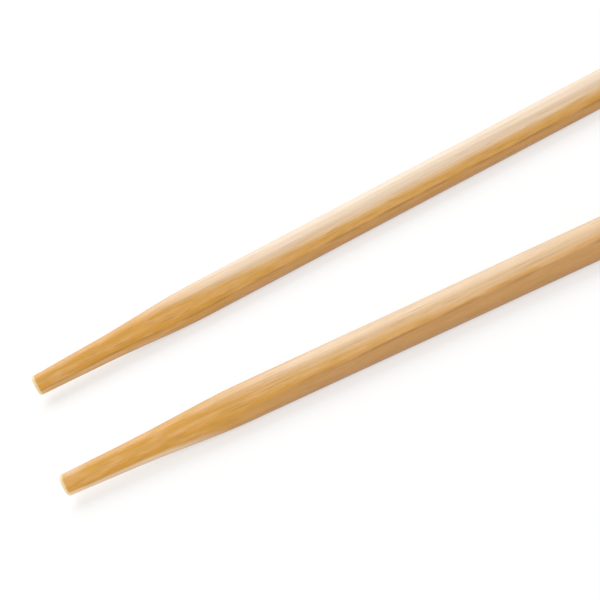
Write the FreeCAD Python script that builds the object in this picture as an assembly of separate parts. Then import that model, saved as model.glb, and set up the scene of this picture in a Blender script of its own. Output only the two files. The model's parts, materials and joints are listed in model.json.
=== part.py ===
import FreeCAD, Part
import math
import os

# A pair of round bamboo chopsticks, lying on a table as they were held in use: side by side, a bite's
# width apart at the tips and spreading a little towards the handle ends.
#
# Each chopstick is one rod of solid bamboo, turned as a single piece. Its long body is a plain cylinder.
# At the front it tapers in two stages: a short flare takes the body down to a slimmer grip, and the grip
# narrows slowly to a blunt tip. Very large radii blend the stages, so that the shoulder can be felt but
# has no edge. Both ends are sawn flat, and their rims are rounded by tumbling.
#
# Sizes are in millimetres. X runs along the pair from the tips to the handle ends, Y from the front
# chopstick to the back one and Z upwards from the table. The origin is on the table, in the middle
# of the pair's footprint.

# One chopstick.
LENGTH = 230.0
BODY_DIAMETER = 5.5
TIP_DIAMETER = 3.2
GRIP_DIAMETER = 4.0
GRIP_LENGTH = 13.0
TAPER_LENGTH = 25.5
FLARE_RADIUS = 100.0
SHOULDER_RADIUS = 100.0
TIP_RIM_RADIUS = 0.3
HANDLE_RIM_RADIUS = 0.4

# How the two lie on the table.
TIP_SPACING = 34.5
SPREAD_ANGLE = 6.6
TIP_STAGGER = 2.6

# Two profile points closer together than this are one point.
SAME_POINT = 1e-6


def rounded_corner(before, corner, after, radius):
    """The arc that rounds a profile's corner: its start, its middle and its end."""
    towards_before = (before - corner).normalize()
    towards_after = (after - corner).normalize()
    half_opening = towards_before.getAngle(towards_after) / 2
    cut_back = radius / math.tan(half_opening)
    centre_distance = radius / math.sin(half_opening)
    inwards = (towards_before + towards_after).normalize()
    start = corner + towards_before * cut_back
    middle = corner + inwards * (centre_distance - radius)
    end = corner + towards_after * cut_back
    return start, middle, end


def rounded_profile(corners):
    """A closed face from corners given as (along, out, radius), each rounded by its own radius."""
    points = [FreeCAD.Vector(along, out, 0) for along, out, radius in corners]
    edges = []
    pen = points[0]
    for index in range(1, len(points)):
        radius = corners[index][2]
        if radius == 0:
            start = points[index]
            end = start
        else:
            start, middle, end = rounded_corner(points[index - 1], points[index], points[index + 1], radius)
        if pen.distanceToPoint(start) > SAME_POINT:
            edges.append(Part.LineSegment(pen, start).toShape())
        if radius > 0:
            edges.append(Part.Arc(start, middle, end).toShape())
        pen = end
    edges.append(Part.LineSegment(pen, points[0]).toShape())
    return Part.Face(Part.Wire(edges))


def chopstick():
    """One chopstick on the X axis, with its tip's end at the origin.

    Its half section lies level, so that the seam of the turned faces is at the side of the rod and not
    along the line that it rests on.
    """
    body_out = BODY_DIAMETER / 2
    half_section = rounded_profile(
        [
            (0, 0, 0),
            (0, TIP_DIAMETER / 2, TIP_RIM_RADIUS),
            (GRIP_LENGTH, GRIP_DIAMETER / 2, FLARE_RADIUS),
            (TAPER_LENGTH, body_out, SHOULDER_RADIUS),
            (LENGTH, body_out, HANDLE_RIM_RADIUS),
            (LENGTH, 0, 0),
        ]
    )
    return half_section.revolve(FreeCAD.Vector(0, 0, 0), FreeCAD.Vector(1, 0, 0), 360)


def laid_down(stick, tip_x, tip_y, turn):
    """The chopstick on the table, its body touching Z = 0, tip at (tip_x, tip_y), turned by degrees."""
    laid = stick.copy()
    laid.rotate(FreeCAD.Vector(0, 0, 0), FreeCAD.Vector(0, 0, 1), turn)
    laid.translate(FreeCAD.Vector(tip_x, tip_y, BODY_DIAMETER / 2))
    return laid


def pair_on_the_table():
    """Both chopsticks by name, with the origin in the middle of their footprint."""
    stick = chopstick()
    sticks = {
        "front_chopstick": laid_down(stick, 0, -TIP_SPACING / 2, -SPREAD_ANGLE / 2),
        "back_chopstick": laid_down(stick, -TIP_STAGGER, TIP_SPACING / 2, SPREAD_ANGLE / 2),
    }
    footprint = Part.makeCompound(list(sticks.values())).optimalBoundingBox(False, False)
    to_middle = FreeCAD.Vector(-footprint.Center.x, -footprint.Center.y, 0)
    for laid in sticks.values():
        laid.translate(to_middle)
    return sticks


os.makedirs("parts", exist_ok=True)
for name, solid in pair_on_the_table().items():
    solid.exportStep(os.path.join("parts", name + ".step"))
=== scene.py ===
import json
import math

import bmesh
import bpy
from mathutils import Matrix, Vector


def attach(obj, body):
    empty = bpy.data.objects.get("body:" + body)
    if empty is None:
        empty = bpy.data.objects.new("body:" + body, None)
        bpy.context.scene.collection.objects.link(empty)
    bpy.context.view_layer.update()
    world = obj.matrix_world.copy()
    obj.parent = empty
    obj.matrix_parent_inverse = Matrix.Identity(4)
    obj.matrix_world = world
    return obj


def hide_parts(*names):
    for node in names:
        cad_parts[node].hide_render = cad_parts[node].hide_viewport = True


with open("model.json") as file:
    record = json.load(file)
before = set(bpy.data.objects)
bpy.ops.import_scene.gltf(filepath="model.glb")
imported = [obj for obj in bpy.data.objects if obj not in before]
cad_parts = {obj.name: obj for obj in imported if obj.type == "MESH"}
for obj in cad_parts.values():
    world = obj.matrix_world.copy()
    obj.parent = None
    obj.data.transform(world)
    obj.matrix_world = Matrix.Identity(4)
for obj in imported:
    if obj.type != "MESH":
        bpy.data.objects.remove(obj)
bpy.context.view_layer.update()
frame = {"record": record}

mounts = {mount["name"]: mount for mount in frame["record"]["mounts"]}


# The chopstick nearer the eye. One rod of solid bamboo, turned on a lathe from the wall of a culm: a
# long straight body that flares down to a slimmer grip with a blunt tip. Both ends are sawn flat, and
# tumbling has rounded their rims and left the fibres standing as very shallow flutes.

# The turned shape, in metres. A blend begins its cut back before a corner, and ends as far past it.
LENGTH = 0.230
BODY_RADIUS = 0.00275
GRIP_RADIUS = 0.0020
TIP_RADIUS = 0.0016
GRIP_LENGTH = 0.013
TAPER_LENGTH = 0.0255
FLARE_CUT_BACK = 0.00146
SHOULDER_CUT_BACK = 0.0030
TIP_RIM = 0.0003
HANDLE_RIM = 0.0004

# How finely the rod is divided, round it and along each stretch.
SIDES = 160
BODY_RINGS = 215
GRIP_RINGS = 22
FLARE_RINGS = 16
BLEND_RINGS = 10
RIM_RINGS = 6
END_RINGS = 9

# Points closer together than this are one point. A stretch is taken with a hair more at each end.
SAME_POINT = 1e-6
HAIR = 5e-6

# The relief of the fibres, in metres: each flute's and each wave's size along and across, and depth.
FLUTE_SIZE = (0.024, 0.00045, 0.00045)
FLUTE_DEPTH = 0.00005
WAVE_SIZE = (0.045, 0.0022, 0.0022)
WAVE_DEPTH = 0.00009
RELIEF_OCTAVES = 2


def pick_points(is_wanted):
    """Selects the drawn points whose place passes the test, and nothing else."""
    bpy.ops.mesh.select_all(action="DESELECT")
    profile = bmesh.from_edit_mesh(blank.data)
    for point in profile.verts:
        point.select = is_wanted(point.co)
    profile.select_flush(True)
    bmesh.update_edit_mesh(blank.data)


def round_corner(x, out, cut_back, rings):
    """Rounds one corner of the drawn half profile."""
    corner = Vector((x, 0, out))
    pick_points(lambda place: (place - corner).length < SAME_POINT)
    bpy.ops.mesh.bevel(affect="VERTICES", offset=cut_back, segments=rings, profile=0.5)


def cut_rings(start_x, end_x, rings):
    """Divides the half profile's one straight edge between two places along the rod."""
    pick_points(lambda place: start_x - HAIR < place.x < end_x + HAIR)
    bpy.ops.mesh.subdivide(number_cuts=rings)


bpy.ops.object.select_all(action="DESELECT")
bpy.ops.mesh.primitive_plane_add(size=TIP_RADIUS, location=(0, 0, 0))
blank = bpy.context.object
bpy.ops.object.mode_set(mode="EDIT")
bpy.ops.mesh.merge(type="CENTER")
bpy.ops.mesh.select_mode(type="VERT")
pen_x, pen_out = 0, 0
corners = [
    (0, TIP_RADIUS),
    (GRIP_LENGTH, GRIP_RADIUS),
    (TAPER_LENGTH, BODY_RADIUS),
    (LENGTH, BODY_RADIUS),
    (LENGTH, 0),
]
for x, radius in corners:
    stroke = (x - pen_x, 0, radius - pen_out)
    bpy.ops.mesh.extrude_vertices_move(TRANSFORM_OT_translate={"value": stroke})
    pen_x, pen_out = x, radius
round_corner(0, TIP_RADIUS, TIP_RIM, RIM_RINGS)
round_corner(GRIP_LENGTH, GRIP_RADIUS, FLARE_CUT_BACK, BLEND_RINGS)
round_corner(TAPER_LENGTH, BODY_RADIUS, SHOULDER_CUT_BACK, BLEND_RINGS)
round_corner(LENGTH, BODY_RADIUS, HANDLE_RIM, RIM_RINGS)
cut_rings(0, 0, END_RINGS)
cut_rings(TIP_RIM, GRIP_LENGTH - FLARE_CUT_BACK, GRIP_RINGS)
cut_rings(GRIP_LENGTH + FLARE_CUT_BACK, TAPER_LENGTH - SHOULDER_CUT_BACK, FLARE_RINGS)
cut_rings(TAPER_LENGTH + SHOULDER_CUT_BACK, LENGTH - HANDLE_RIM, BODY_RINGS)
cut_rings(LENGTH, LENGTH, END_RINGS)
bpy.ops.mesh.select_all(action="SELECT")
bpy.ops.mesh.spin(steps=SIDES, angle=2 * math.pi, center=(0, 0, 0), axis=(1, 0, 0))
bpy.ops.mesh.select_all(action="SELECT")
bpy.ops.mesh.remove_doubles(threshold=SAME_POINT)
bpy.ops.mesh.normals_make_consistent(inside=False)
bpy.ops.object.mode_set(mode="OBJECT")
bpy.ops.object.shade_smooth()


def take_up(rod):
    """Makes the rod the one selected object, and the active one."""
    bpy.ops.object.select_all(action="DESELECT")
    rod.select_set(True)
    bpy.context.view_layer.objects.active = rod


def raise_grain(rod, name, grain_size, depth, culm_place):
    """Lifts and sinks the rod's surface along its fibres, as its own part of the culm has it."""
    bpy.ops.object.empty_add(location=culm_place)
    grain = bpy.context.object
    grain.scale = grain_size
    relief = bpy.data.textures.new(name, "CLOUDS")
    relief.noise_scale = 1
    relief.noise_depth = RELIEF_OCTAVES
    lift = rod.modifiers.new(name, "DISPLACE")
    lift.texture = relief
    lift.texture_coords = "OBJECT"
    lift.texture_coords_object = grain
    lift.strength = depth
    lift.mid_level = 0.5
    take_up(rod)
    bpy.ops.object.modifier_apply(modifier=lift.name)
    bpy.data.objects.remove(grain)
    bpy.data.textures.remove(relief)


def lay_down(rod, handle_end):
    """Lays the rod on the table with its handle end at the CAD's mount, and keeps that in its mesh."""
    direction = Vector(handle_end["axis"])
    heading = math.atan2(direction.y, direction.x)
    tip = Vector(handle_end["pos_m"]) - direction * LENGTH
    rod.location = tip
    rod.rotation_euler = (0, 0, heading)
    take_up(rod)
    bpy.ops.object.transform_apply(location=True, rotation=True, scale=True)
    return tip, heading


def bare_tree(owner):
    """The node tree of a new material or world, with nothing in it yet."""
    owner.use_nodes = True
    owner.node_tree.nodes.clear()
    return owner.node_tree


def add_node(tree, kind, inputs=(), **settings):
    """A shader node whose sockets get a value each, or what another node gives."""
    made = tree.nodes.new("ShaderNode" + kind)
    for key, value in settings.items():
        setattr(made, key, value)
    for socket, value in dict(inputs).items():
        if isinstance(value, bpy.types.NodeSocket):
            tree.links.new(value, made.inputs[socket])
        else:
            made.inputs[socket].default_value = value
    return made


DISPLAY_GAMMA = 2.2


def paint(red, green, blue):
    """A colour that a chart gives from 0 to 255, as a shader socket takes it."""
    return tuple((part / 255) ** DISPLAY_GAMMA for part in (red, green, blue)) + (1,)


# The bamboo's colours.
STRAW = paint(213, 156, 66)
LIGHT_STRAW = paint(222, 170, 84)
BAND_BROWN = paint(202, 146, 58)
# Deeper gold on the taper, partly painted shade.
TURNED_GOLD_AND_SHADE = paint(214, 151, 26)
MOTTLE_LIGHT = paint(226, 174, 116)
MOTTLE_DARK = paint(200, 142, 34)
FIBRE_BROWN = paint(190, 134, 52)
BUNDLE_BROWN = paint(184, 128, 46)
DASH_BROWN = paint(162, 110, 34)
OUTER_TAN = paint(187, 137, 87)
LINE_BROWN = paint(158, 108, 40)
# The pale top: partly the pith's paler wood, partly a painted sheen of the light from above.
PITH_AND_SHEEN_CREAM = paint(238, 215, 187)
PITH_AND_SHEEN_WHITE = paint(246, 227, 205)
PITH_AND_SHEEN_FIBRE = paint(228, 200, 166)
PITH_AND_SHEEN_DASH = paint(196, 154, 106)
# Painted light from below, low along the front of the taper.
UNDERLIGHT_CREAM = paint(250, 226, 194)
# A rim's pale colour, partly wear and partly a painted highlight.
RIM_WEAR_AND_HIGHLIGHT = paint(248, 226, 180)
# The end grain's tan, lightened as painted light for the little light the ends get.
SAWN_TAN_AND_LIGHT = paint(250, 202, 146)
PORE_BROWN = paint(156, 98, 50)

# How much of each colour shows where its pattern is full.
BAND_SHARE = 0.3
TURNED_GOLD_AND_SHADE_SHARE = 0.85
MOTTLE_SHARE = 0.5
FIBRE_SHARE = 0.2
BUNDLE_SHARE = 0.3
DASH_SHARE = 0.45
PITH_AND_SHEEN_FIBRE_SHARE = 0.4
PITH_AND_SHEEN_DASH_SHARE = 0.3
RIM_WEAR_AND_HIGHLIGHT_SHARE = 0.85
SAWN_TAN_AND_LIGHT_SHARE = 0.8
PORE_SHARE = 0.7

# What is left of the outer layer on the taper, of its line in a break, and of the pores by the pith.
LAYER_ON_TAPER = 0.15
LINE_IN_BREAK = 0.3
PORES_BY_PITH = 0.45

MILLIMETRE = 0.001

# Each pattern's length along the fibres and width across them, in millimetres.
SWAY_SIZE = (50, 4)
TONE_SIZE = (140, 1.3)
BAND_SIZE = (34, 0.42)
FIBRE_SIZE = (14, 0.11)
BUNDLE_SIZE = (90, 0.75)
DASH_SIZE = (4.5, 0.24)
MOTTLE_SIZE = (4.5, 0.7)
RIPPLE_SIZE = (30, 3)
LINE_BREAK_SIZE = (5, 1.2)
PALE_AND_SHEEN_EDGE_SIZE = (22, 0.8)
STRIP_EDGE_SIZE = (9, 1)
PORE_SIZE = (90, 0.55)

# A pattern's values run from 0 to 1: these are where a change of colour starts and ends in them.
CRISP = (0.35, 0.65)
SOFT = (0.3, 0.7)
FAINT = (0.25, 0.75)
BUNDLE_EDGE = (0.16, 0.34)
DASH_EDGE = (0.58, 0.72)
DARK_MOTTLE_EDGE = (0.34, 0.5)
LIGHT_MOTTLE_EDGE = (0.5, 0.66)
LINE_BREAK_EDGE = (0.36, 0.6)
PORE_EDGE = (0.12, 0.42)

# How far from the tip's end a thing changes: the first in taper lengths, the others in millimetres.
TURNED_FADES = (0.7, 1.7)
GRAIN_LEVELS_AT = 85
PALE_AND_SHEEN_GROWS = (8, 58)
PALE_AND_SHEEN_TIP_ENDS = (2, 8)
STRIP_ENDS = (17, 27)

# The stretch over which the dark line comes in, in millimetres.
LINE_FADE = 16

# Distances across the rod, in millimetres. The pale shift is how far down the edge of the pale wood
# and its painted sheen lies before and after the stretch where it grows, from where its rod has it.
SWAY_REACH = 0.55
RIPPLE_REACH = 0.25
LAYER_EDGE = (-0.25, 0.05)
LINE_DEPTH = 0.2
LINE_HALF_WIDTH = 0.36
PALE_AND_SHEEN_SHIFT = (-0.85, 0.2)
PALE_AND_SHEEN_EDGE_REACH = 0.2
PORES_FADE = (-2.5, 2.5)

# How far from an end, in millimetres, its colour starts and is full.
RIM_DEPTH = (0.65, 0.25)
SAWN_DEPTH = (0.05, 0.02)

# The pale side, partly the pith's paler wood and partly a painted sheen of the light from above, leans
# forward a little from straight up. The strip of painted light from below has its middle facing
# forward, dipping this far below level, and its edge lies between two cosines of the angle from there.
PITH_AND_SHEEN_LEAN = math.radians(-10)
STRIP_DIP = math.radians(58)
STRIP_EDGE = (0.68, 0.9)
STRIP_EDGE_REACH = 0.05

# The finish that sanding and tumbling leave, and how far the fibres stand out from it, in metres.
WOOD_IOR = 1.5
WOOD_SPECULAR = 0.5
RUBBED_COAT = 0.5
RUBBED_ROUGHNESS = 0.5
ROUGHNESS = (0.5, 0.4)
SAWN_ROUGHER = 0.2
DASH_SINKS = 0.8
BUNDLE_RISES = 0.5
RELIEF_STRENGTH = 0.35
RELIEF_HEIGHT = 0.00003


def bamboo(name, tip, heading, grain):
    """Bare bamboo cut from a culm, its grain following the fibres through the whole rod, with painted
    light and shade on it: a pale sheen on top, light from below on the taper, bright rims and ends,
    deeper gold on the taper.
    """
    wood = bpy.data.materials.new(name)
    tree = bare_tree(wood)

    def add(kind, inputs=(), **settings):
        return add_node(tree, kind, inputs, **settings)

    def math_of(operation, first, second=0.0):
        return add("Math", {0: first, 1: second}, operation=operation).outputs[0]

    def plus(first, second):
        return math_of("ADD", first, second)

    def times(first, second):
        return math_of("MULTIPLY", first, second)

    def vector_of(operation, inputs, output=0):
        return add("VectorMath", dict(enumerate(inputs)), operation=operation).outputs[output]

    def along_fibres(vector, size):
        """The place in units of a pattern that is so long and so wide, in millimetres."""
        length, width = size
        return vector_of("MULTIPLY", (vector, (1 / length, 1 / width, 1 / width)))

    def noise(vector, size, detail=2.0, output="Fac"):
        sockets = {"Vector": along_fibres(vector, size), "Scale": 1, "Detail": detail}
        return add("TexNoise", sockets).outputs[output]

    def cells(vector, size):
        return add("TexVoronoi", {"Vector": along_fibres(vector, size), "Scale": 1})

    def ramp(value, start, full, at_start=0.0, at_full=1.0):
        """A smooth change from one value to another while the first one goes from start to full."""
        sockets = {
            "Value": value,
            "From Min": start,
            "From Max": full,
            "To Min": at_start,
            "To Max": at_full,
        }
        return add("MapRange", sockets, interpolation_type="SMOOTHSTEP").outputs[0]

    def tint(share, under, over):
        return add("Mix", {0: share, 6: under, 7: over}, data_type="RGBA").outputs[2]

    def in_millimetres(turn):
        """The place on the rod in millimetres from the middle of the tip's end."""
        sockets = {0: place, 1: tip, 2: turn, 3: (MILLIMETRE, MILLIMETRE, MILLIMETRE)}
        return add("Mapping", sockets, vector_type="TEXTURE").outputs[0]

    # The place on the rod, the same place in the direction of the fibres, and that in the culm.
    place = add("TexCoord").outputs["Object"]
    on_rod = in_millimetres((0, 0, heading))
    on_fibre = in_millimetres((grain["roll"], -grain["rise"], heading + grain["drift"]))
    in_culm = vector_of("ADD", (on_fibre, grain["culm_place"]))
    along = add("SeparateXYZ", {0: on_rod}).outputs["X"]

    # No fibre is quite straight.
    sway = noise(in_culm, SWAY_SIZE, output="Color")
    centred = vector_of("SUBTRACT", (sway, (0.5, 0.5, 0.5)))
    swayed = vector_of("MULTIPLY_ADD", (centred, (0, SWAY_REACH, SWAY_REACH), in_culm))

    tone = noise(swayed, TONE_SIZE)
    band = noise(swayed, BAND_SIZE)
    fibre = noise(swayed, FIBRE_SIZE, detail=3.0)
    mottle = noise(swayed, MOTTLE_SIZE)
    dash = ramp(noise(swayed, DASH_SIZE), *DASH_EDGE)
    cell = cells(swayed, BUNDLE_SIZE)
    weight = add("SeparateColor", {0: cell.outputs["Color"]}).outputs[0]
    bundle = times(ramp(cell.outputs["Distance"], *BUNDLE_EDGE, 1, 0), weight)

    # The plain wood, which is more golden where the taper was turned: partly the cut fibres' own
    # colour, partly painted shade.
    taper = TAPER_LENGTH / MILLIMETRE
    turned = ramp(along, TURNED_FADES[0] * taper, TURNED_FADES[1] * taper, 1, 0)
    colour = tint(ramp(tone, *CRISP), STRAW, LIGHT_STRAW)
    colour = tint(ramp(band, *SOFT, BAND_SHARE, 0), colour, BAND_BROWN)
    colour = tint(times(turned, TURNED_GOLD_AND_SHADE_SHARE), colour, TURNED_GOLD_AND_SHADE)
    colour = tint(ramp(mottle, *LIGHT_MOTTLE_EDGE, 0, MOTTLE_SHARE), colour, MOTTLE_LIGHT)
    colour = tint(ramp(mottle, *DARK_MOTTLE_EDGE, MOTTLE_SHARE, 0), colour, MOTTLE_DARK)
    colour = tint(ramp(fibre, *CRISP, FIBRE_SHARE, 0), colour, FIBRE_BROWN)
    colour = tint(times(bundle, BUNDLE_SHARE), colour, BUNDLE_BROWN)
    colour = tint(times(dash, DASH_SHARE), colour, DASH_BROWN)

    # The culm's browner outer layer lies low in the rod, and a thin dark line runs along its edge.
    depth = add("SeparateXYZ", {0: on_fibre}).outputs["Z"]
    depth = plus(depth, ramp(noise(in_culm, RIPPLE_SIZE), 0, 1, -RIPPLE_REACH, RIPPLE_REACH))
    depth = plus(depth, -grain["layer_height"])
    past_slope = math_of("MAXIMUM", plus(along, -GRAIN_LEVELS_AT), 0)
    depth = plus(depth, times(past_slope, grain["rise"]))
    outer_layer = times(ramp(depth, *LAYER_EDGE, 1, 0), ramp(turned, 0, 1, 1, LAYER_ON_TAPER))
    colour = tint(times(outer_layer, grain["layer_share"]), colour, OUTER_TAN)
    line = ramp(math_of("ABSOLUTE", plus(depth, LINE_DEPTH)), 0, LINE_HALF_WIDTH, 1, 0)
    line = times(line, ramp(noise(in_culm, LINE_BREAK_SIZE), *LINE_BREAK_EDGE, LINE_IN_BREAK, 1))
    line = times(line, ramp(along, grain["line_from"], grain["line_from"] + LINE_FADE))
    colour = tint(times(line, grain["line_share"]), colour, LINE_BROWN)

    # Near the top of the rod, towards the pith, the colour is pale with fainter fibres: partly the
    # pith's paler wood, partly a painted sheen of the light from above.
    to_pith_and_sheen = (0, math.sin(PITH_AND_SHEEN_LEAN), math.cos(PITH_AND_SHEEN_LEAN))
    pith_and_sheen_side = vector_of("DOT_PRODUCT", (on_rod, to_pith_and_sheen), "Value")
    pale_and_sheen_edge = ramp(noise(in_culm, PALE_AND_SHEEN_EDGE_SIZE), *FAINT, -PALE_AND_SHEEN_EDGE_REACH, PALE_AND_SHEEN_EDGE_REACH)
    pith_and_sheen_side = plus(pith_and_sheen_side, pale_and_sheen_edge)
    pith_and_sheen_side = plus(pith_and_sheen_side, ramp(along, *PALE_AND_SHEEN_GROWS, *PALE_AND_SHEEN_SHIFT))
    pith_and_sheen_side = plus(pith_and_sheen_side, ramp(along, *PALE_AND_SHEEN_TIP_ENDS, grain["tip_pale_and_sheen"], 0))
    pale_wood_and_sheen = tint(ramp(band, *SOFT), PITH_AND_SHEEN_CREAM, PITH_AND_SHEEN_WHITE)
    pale_wood_and_sheen = tint(ramp(fibre, *CRISP, PITH_AND_SHEEN_FIBRE_SHARE, 0), pale_wood_and_sheen, PITH_AND_SHEEN_FIBRE)
    pale_wood_and_sheen = tint(times(dash, PITH_AND_SHEEN_DASH_SHARE), pale_wood_and_sheen, PITH_AND_SHEEN_DASH)
    pale_and_sheen = ramp(pith_and_sheen_side, grain["pale_and_sheen_from"], grain["pale_and_sheen_to"], 0, grain["pale_and_sheen_share"])
    colour = tint(pale_and_sheen, colour, pale_wood_and_sheen)

    # A strip of painted light from below runs low along the taper, on the side of the front.
    facing = vector_of("NORMALIZE", (vector_of("MULTIPLY", (on_rod, (0, 1, 1))),))
    to_strip = (0, -math.cos(STRIP_DIP), -math.sin(STRIP_DIP))
    strip_side = vector_of("DOT_PRODUCT", (facing, to_strip), "Value")
    strip_edge = ramp(noise(in_culm, STRIP_EDGE_SIZE), *FAINT, -STRIP_EDGE_REACH, STRIP_EDGE_REACH)
    underlight_strip = ramp(plus(strip_side, strip_edge), *STRIP_EDGE, 0, grain["underlight_share"])
    underlight_strip = times(underlight_strip, ramp(along, *STRIP_ENDS, 1, 0))
    colour = tint(underlight_strip, colour, UNDERLIGHT_CREAM)

    # The rims are painted pale, partly as wear and partly as a painted highlight where the rounded
    # edge catches the light. The sawn ends are lightened as painted light for the little light they
    # get, and show the vessels as darker dots.
    half_length = LENGTH / MILLIMETRE / 2
    from_middle = math_of("ABSOLUTE", plus(along, -half_length))
    rim_wear_and_highlight = ramp(from_middle, half_length - RIM_DEPTH[0], half_length - RIM_DEPTH[1])
    sawn = ramp(from_middle, half_length - SAWN_DEPTH[0], half_length - SAWN_DEPTH[1])
    colour = tint(times(rim_wear_and_highlight, RIM_WEAR_AND_HIGHLIGHT_SHARE), colour, RIM_WEAR_AND_HIGHLIGHT)
    colour = tint(times(sawn, SAWN_TAN_AND_LIGHT_SHARE), colour, SAWN_TAN_AND_LIGHT)
    pore = ramp(cells(in_culm, PORE_SIZE).outputs["Distance"], *PORE_EDGE, 1, 0)
    pore = times(pore, ramp(pith_and_sheen_side, *PORES_FADE, 1, PORES_BY_PITH))
    colour = tint(times(times(pore, sawn), PORE_SHARE), colour, PORE_BROWN)

    roughness = plus(ramp(band, *SOFT, *ROUGHNESS), times(sawn, SAWN_ROUGHER))
    height = math_of("SUBTRACT", fibre, times(dash, DASH_SINKS))
    height = plus(height, times(bundle, BUNDLE_RISES))
    relief = {"Height": height, "Strength": RELIEF_STRENGTH, "Distance": RELIEF_HEIGHT}

    skin = add(
        "BsdfPrincipled",
        {
            "Base Color": colour,
            "Roughness": roughness,
            "IOR": WOOD_IOR,
            "Specular IOR Level": WOOD_SPECULAR,
            "Coat Weight": RUBBED_COAT,
            "Coat Roughness": RUBBED_ROUGHNESS,
            "Normal": add("Bump", relief).outputs[0],
        },
    )
    add("OutputMaterial", {0: skin.outputs[0]})
    return wood


# The blank is copied for the other chopstick before this one gets its own grain.
front = blank
front.name = "front_bamboo_rod"
back = front.copy()
back.data = front.data.copy()
back.name = "back_bamboo_rod"
bpy.context.collection.objects.link(back)

FRONT_CULM_PLACE = (0.5, 0.02, 0.03)
raise_grain(front, "front_waves", WAVE_SIZE, WAVE_DEPTH, FRONT_CULM_PLACE)
raise_grain(front, "front_flutes", FLUTE_SIZE, FLUTE_DEPTH, FRONT_CULM_PLACE)
front_tip, front_heading = lay_down(front, mounts["front_handle_end"])
front_grain = {
    "roll": math.radians(-20),
    "rise": 0.0165,
    "drift": 0.006,
    "culm_place": (40, 31, 17),
    "layer_height": -1.07,
    "layer_share": 0.6,
    "line_share": 0.75,
    "line_from": 32,
    "pale_and_sheen_from": 1.7,
    "pale_and_sheen_to": 2.95,
    "pale_and_sheen_share": 0.55,
    "underlight_share": 0.68,
    "tip_pale_and_sheen": 1.4,
}
front.data.materials.clear()
front.data.materials.append(bamboo("front_bamboo", front_tip, front_heading, front_grain))
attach(front, "root")
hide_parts("front_chopstick")


# The chopstick on the far side. It is the same turned rod, from another part of the culm, so its
# fibres run almost along it and its darker layer shows low on the side that faces the eye.
BACK_CULM_PLACE = (-0.3, -0.05, 0.04)
raise_grain(back, "back_waves", WAVE_SIZE, WAVE_DEPTH, BACK_CULM_PLACE)
raise_grain(back, "back_flutes", FLUTE_SIZE, FLUTE_DEPTH, BACK_CULM_PLACE)
back_tip, back_heading = lay_down(back, mounts["back_handle_end"])
back_grain = {
    "roll": math.radians(4),
    "rise": 0.001,
    "drift": -0.001,
    "culm_place": (-230, -12, 45),
    "layer_height": -0.05,
    "layer_share": 0.4,
    "line_share": 0.65,
    "line_from": -20,
    "pale_and_sheen_from": 1.25,
    "pale_and_sheen_to": 2.75,
    "pale_and_sheen_share": 0.92,
    "underlight_share": 0.2,
    "tip_pale_and_sheen": 0.6,
}
back.data.materials.clear()
back.data.materials.append(bamboo("back_bamboo", back_tip, back_heading, back_grain))
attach(back, "root")
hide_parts("back_chopstick")


# The floor. A wide sheet of white card that shows as white to the eye and in the bamboo's gloss, and
# keeps a soft shadow under each rod. Past the shadows' reach it turns to plain white.
FLOOR_SIZE = 12.0
SHADOW_REACH = 0.15
WHITE_REACH = 0.5
WHITE_SHARE = 0.6
BOUNCE = 0.9
WHITE = (1, 1, 1, 1)
GREY = (BOUNCE, BOUNCE, BOUNCE, 1)


def shown_white(tree):
    """1 for what the eye sees, straight, in a gloss or through glass, and 0 for light on its way."""
    ray = add_node(tree, "LightPath").outputs
    straight_or_gloss = {0: ray["Is Camera Ray"], 1: ray["Is Glossy Ray"]}
    seen = add_node(tree, "Math", straight_or_gloss, operation="MAXIMUM").outputs[0]
    or_through_glass = {0: seen, 1: ray["Is Transmission Ray"]}
    return add_node(tree, "Math", or_through_glass, operation="MAXIMUM").outputs[0]


bpy.ops.object.select_all(action="DESELECT")
bpy.ops.mesh.primitive_plane_add(size=FLOOR_SIZE, location=(0, 0, 0))
floor = bpy.context.object
floor.name = "floor"
card = bpy.data.materials.new("white_card")
tree = bare_tree(card)
seen = shown_white(tree)
spot = add_node(tree, "TexCoord").outputs["Object"]
reach = add_node(tree, "VectorMath", {0: spot}, operation="LENGTH").outputs["Value"]
whitens = {
    "Value": reach,
    "From Min": SHADOW_REACH,
    "From Max": WHITE_REACH,
    "To Min": WHITE_SHARE,
    "To Max": 1,
}
away = add_node(tree, "MapRange", whitens, interpolation_type="SMOOTHSTEP").outputs[0]
share = add_node(tree, "Math", {0: seen, 1: away}, operation="MULTIPLY").outputs[0]
pulp = add_node(tree, "Mix", {0: seen, 6: GREY, 7: WHITE}, data_type="RGBA").outputs[2]
paper = add_node(tree, "BsdfDiffuse", {"Color": pulp}).outputs[0]
glow = add_node(tree, "Emission", {"Color": WHITE, "Strength": 1}).outputs[0]
blend = add_node(tree, "MixShader", {0: share, 1: paper, 2: glow}).outputs[0]
add_node(tree, "OutputMaterial", {0: blend})
floor.data.materials.append(card)


# The light of a small photo studio: a wide soft box hangs above and a little behind the pair, a weaker
# one stands in front on the left, and white walls all round give the rest.
WALL_LIGHT = 0.42


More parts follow.
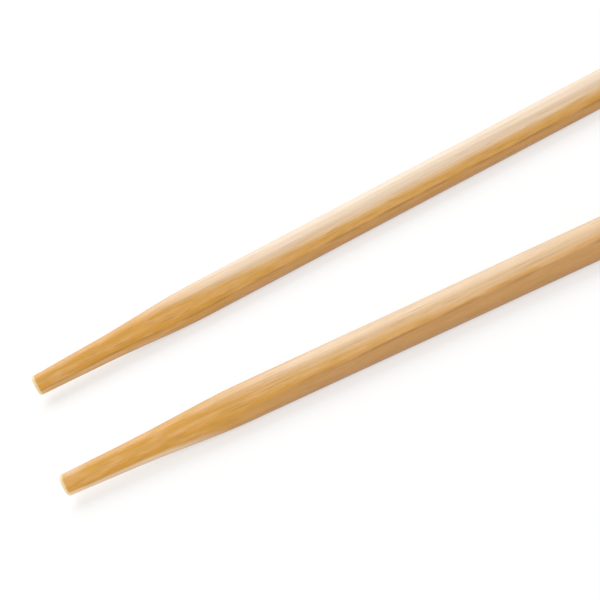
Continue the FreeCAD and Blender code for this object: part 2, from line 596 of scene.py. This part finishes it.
def soft_box(name, location, width, depth, watts):
    """A soft box at that place that faces the middle of the pair."""
    bpy.ops.object.light_add(type="AREA", location=location)
    box = bpy.context.object
    box.name = name
    box.rotation_euler = Vector(location).to_track_quat("Z", "Y").to_euler()
    box.data.shape = "RECTANGLE"
    box.data.size = width
    box.data.size_y = depth
    box.data.energy = watts


soft_box("overhead_box", location=(-0.25, 0.6, 0.8), width=1.1, depth=0.9, watts=7.2)
soft_box("front_box", location=(-0.3, -0.85, 0.6), width=0.9, depth=0.7, watts=4.5)

world = bpy.data.worlds.new("white_walls")
bpy.context.scene.world = world
tree = bare_tree(world)
walls = add_node(tree, "Background", {"Color": WHITE, "Strength": WALL_LIGHT}).outputs[0]
backdrop = add_node(tree, "Background", {"Color": WHITE, "Strength": 1}).outputs[0]
blend = add_node(tree, "MixShader", {0: shown_white(tree), 1: walls, 2: backdrop}).outputs[0]
add_node(tree, "OutputWorld", {0: blend})


# The camera. A long lens looks down across the tips, and is tilted about its own line of sight, so
# that the rods climb to the right as they do in the photograph.
EYE_AZIMUTH = math.radians(4.0)
EYE_ELEVATION = math.radians(25.457)
EYE_ROLL = math.radians(-28.112)
EYE_DISTANCE = 0.38369
FOCAL_LENGTH = 156.0
SENSOR_WIDTH = 36
NEAREST_SEEN = 0.01
AIM_PAST_TIP = (0.040527, 0.002983, 0.00275)

aim = Vector((front_tip.x, 0, 0)) + Vector(AIM_PAST_TIP)
sight = (
    Matrix.Rotation(EYE_AZIMUTH, 4, "Z")
    @ Matrix.Rotation(math.pi / 2 - EYE_ELEVATION, 4, "X")
    @ Matrix.Rotation(EYE_ROLL, 4, "Z")
)
bpy.ops.object.camera_add()
camera = bpy.context.object
camera.name = "camera"
camera.data.sensor_width = SENSOR_WIDTH
camera.data.lens = FOCAL_LENGTH
camera.data.clip_start = NEAREST_SEEN
camera.matrix_world = Matrix.Translation(aim) @ sight @ Matrix.Translation((0, 0, EYE_DISTANCE))
scene = bpy.context.scene
scene.camera = camera
scene.view_settings.view_transform = "Standard"
